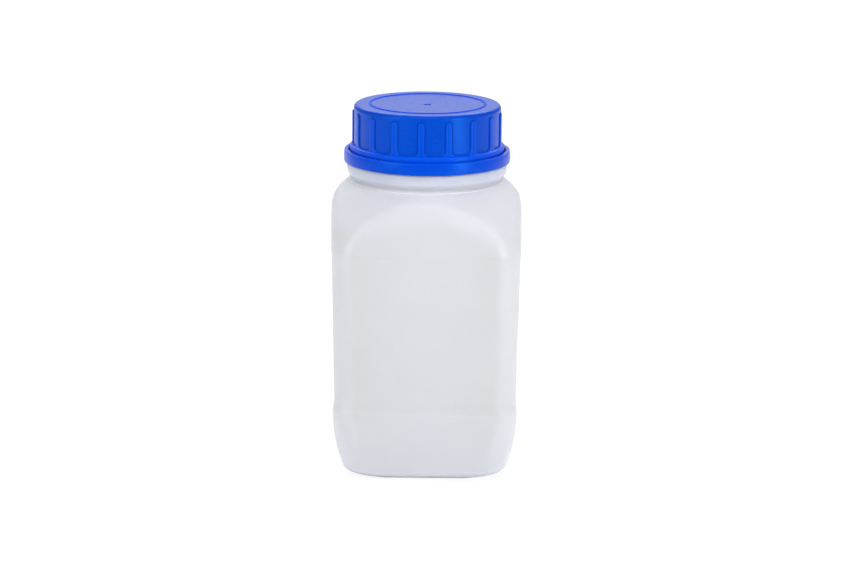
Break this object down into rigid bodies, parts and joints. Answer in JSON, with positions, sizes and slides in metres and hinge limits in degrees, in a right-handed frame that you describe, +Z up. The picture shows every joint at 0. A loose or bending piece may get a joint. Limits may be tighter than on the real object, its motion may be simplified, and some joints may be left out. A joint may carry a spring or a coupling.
{
  "type": "reagent bottle",
  "caption": "Square wide-neck plastic reagent bottle with rounded shoulders, recessed sides, a ribbed screw cap and a tamper-evident ring.",
  "frame": {"origin": "centre of the base, on the surface the bottle stands on", "axes": "+Z up along the neck and cap axis, -Y out of the front side, +X to the right seen from the front"},
  "size_m": [0.0766, 0.0766, 0.1484],
  "materials": {
    "bottle_plastic": "natural milky translucent polyethylene, satin",
    "cap_plastic": "moulded blue, satin sheen",
    "ring_plastic": "moulded blue, satin sheen",
    "foam_liner": "matt white closed-cell foam"
  },
  "bodies": {
    "bottle": {"bottle": "bottle_plastic"},
    "disc": {"sealing_disc": "foam_liner"},
    "cap": {"screw_cap": "cap_plastic"},
    "ring": {"tamper_ring": "ring_plastic"}
  },
  "joints": [
    {"name": "cap_lift", "type": "slide", "parent": "bottle", "child": "disc", "axis": [0, 0, 1], "range_m": [0, 0.018]},
    {"name": "cap_turn", "type": "hinge", "parent": "disc", "child": "cap", "pos_m": [0, 0, 0.14835], "axis": [0, 0, 1], "range_deg": [0, 1080]},
    {"name": "ring_turn", "type": "hinge", "parent": "bottle", "child": "ring", "pos_m": [0, 0, 0.1273], "axis": [0, 0, 1], "continuous": true}
  ],
  "couplings": [
    {"joint": "cap_lift", "follows": "cap_turn", "m_per_rad": 0.00095493}
  ]
}
